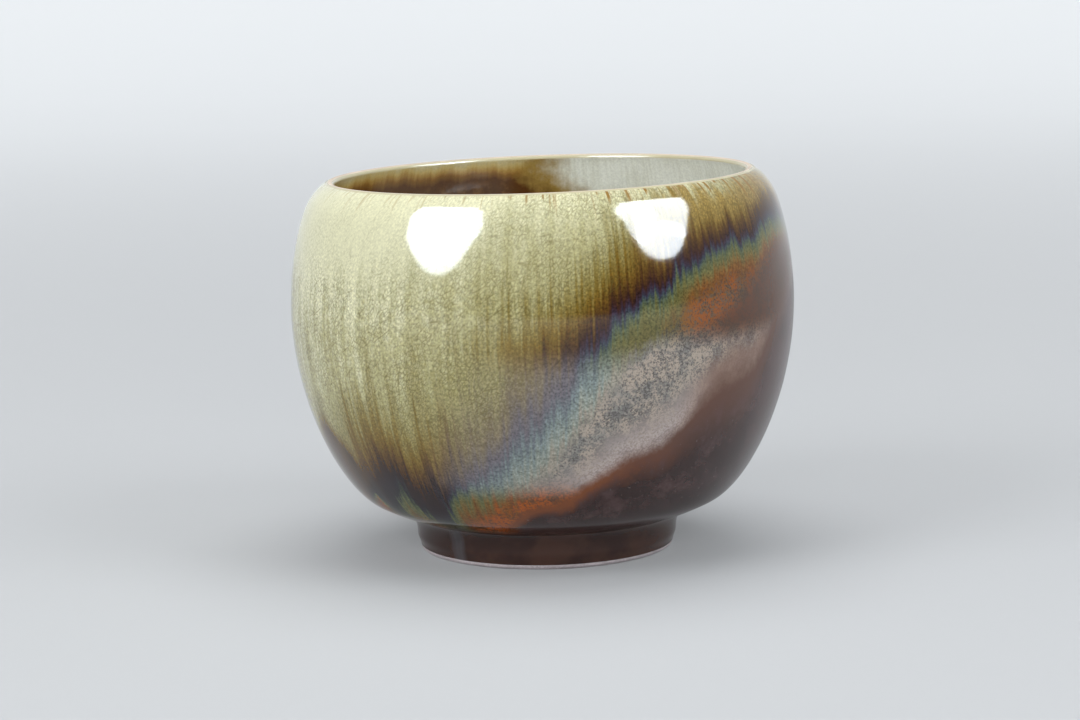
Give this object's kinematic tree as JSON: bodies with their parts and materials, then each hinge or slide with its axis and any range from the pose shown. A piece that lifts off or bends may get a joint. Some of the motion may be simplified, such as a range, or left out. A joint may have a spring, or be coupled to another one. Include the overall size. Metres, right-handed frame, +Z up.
{
  "type": "tea bowl",
  "caption": "Round handleless stoneware tea bowl with an in-curving lip, a luted foot ring, and ash and iron glazes that meet along a slanting, running edge.",
  "frame": {"origin": "centre of the foot ring's standing face", "axes": "+Z up through the mouth; -Y is the pictured side; +X is to the right as seen in the picture"},
  "size_m": [0.09, 0.09, 0.068],
  "materials": {
    "stoneware": "matte",
    "foot_stoneware": "matte",
    "slip": "matte",
    "ash_glaze": "gloss",
    "iron_glaze": "satin",
    "liner_iron_glaze": "gloss",
    "liner_ash_glaze": "gloss"
  },
  "bodies": {
    "root": {"clay_body": "stoneware", "foot_ring": "foot_stoneware", "foot_slip": "slip", "ash_glaze": "ash_glaze", "iron_glaze": "iron_glaze", "liner_iron_glaze": "liner_iron_glaze", "liner_ash_glaze": "liner_ash_glaze"}
  },
  "joints": []
}
